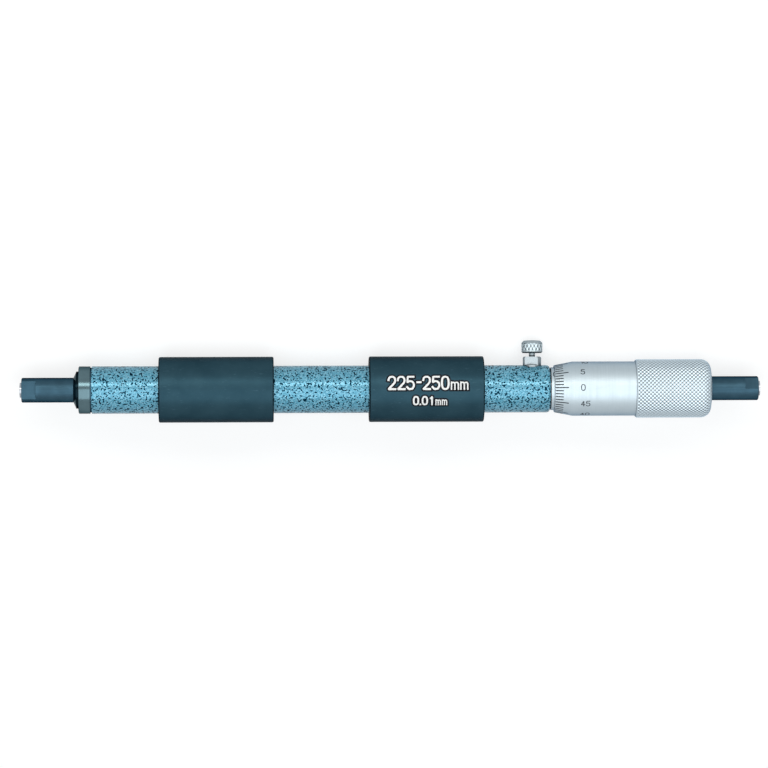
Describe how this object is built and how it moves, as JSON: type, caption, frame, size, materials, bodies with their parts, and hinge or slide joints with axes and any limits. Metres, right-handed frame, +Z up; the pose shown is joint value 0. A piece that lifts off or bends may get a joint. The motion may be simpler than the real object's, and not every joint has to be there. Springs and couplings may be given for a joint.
{
  "type": "tubular inside micrometer",
  "caption": "Tubular inside micrometer: painted tube with two grips, fixed anvil at one end, thimble and spindle at the other, and a knurled clamp screw.",
  "frame": {"origin": "centre of the fixed measuring face, on the measuring axis", "axes": "+X along the measuring axis towards the spindle's measuring face, +Z up from the surface that the two grips and the clamp screw's head lie on"},
  "size_m": [0.225, 0.0237, 0.0198],
  "materials": {
    "tube_paint": "hammered enamel, light blue with dark teal veins",
    "grip_plastic": "matt moulded plastic, dark blue-grey",
    "black_oxide": "ground steel, blackened",
    "satin_chrome": "satin chrome with black filled marks",
    "bright_plate": "bright plating",
    "carbide": "lapped carbide",
    "bare_steel": "ground steel",
    "brass_pad": "turned brass"
  },
  "bodies": {
    "tube_frame": {"frame_tube": "tube_paint", "left_grip": "grip_plastic", "right_grip": "grip_plastic", "end_plug": "bare_steel", "lock_washer": "black_oxide", "anvil_lock_nut": "black_oxide", "fixed_anvil": "black_oxide", "anvil_tip": "carbide", "clamp_bush": "bright_plate", "head_body": "bare_steel", "adjusting_nut": "bare_steel"},
    "zero_sleeve": {"scale_sleeve": "satin_chrome"},
    "feed_tip": {"spindle_tip": "carbide"},
    "thimble_assembly": {"thimble": "satin_chrome", "spindle": "bare_steel", "spindle_anvil": "black_oxide"},
    "pressure_pad": {"clamp_pad": "brass_pad"},
    "clamp_knob": {"clamp_screw": "bright_plate"}
  },
  "joints": [
    {"name": "spindle_feed", "type": "slide", "parent": "tube_frame", "child": "feed_tip", "axis": [1, 0, 0], "range_m": [0, 0.025]},
    {"name": "thimble_turn", "type": "hinge", "parent": "feed_tip", "child": "thimble_assembly", "pos_m": [0.2, 0, 0], "axis": [1, 0, 0], "range_deg": [0, 18000]},
    {"name": "zero_setting", "type": "hinge", "parent": "tube_frame", "child": "zero_sleeve", "pos_m": [0.175, 0, 0], "axis": [1, 0, 0], "range_deg": [-15, 15]},
    {"name": "clamp_feed", "type": "slide", "parent": "tube_frame", "child": "pressure_pad", "axis": [0, 0.8547, -0.5191], "range_m": [-0.000027778, 0.00037222]},
    {"name": "clamp_turn", "type": "hinge", "parent": "pressure_pad", "child": "clamp_knob", "pos_m": [0.1555, 0, 0], "axis": [0, 0.8547, -0.5191], "range_deg": [-25, 335]}
  ],
  "couplings": [
    {"joint": "thimble_turn", "follows": "spindle_feed", "rad_per_m": 12566},
    {"joint": "clamp_turn", "follows": "clamp_feed", "rad_per_m": 15708}
  ]
}
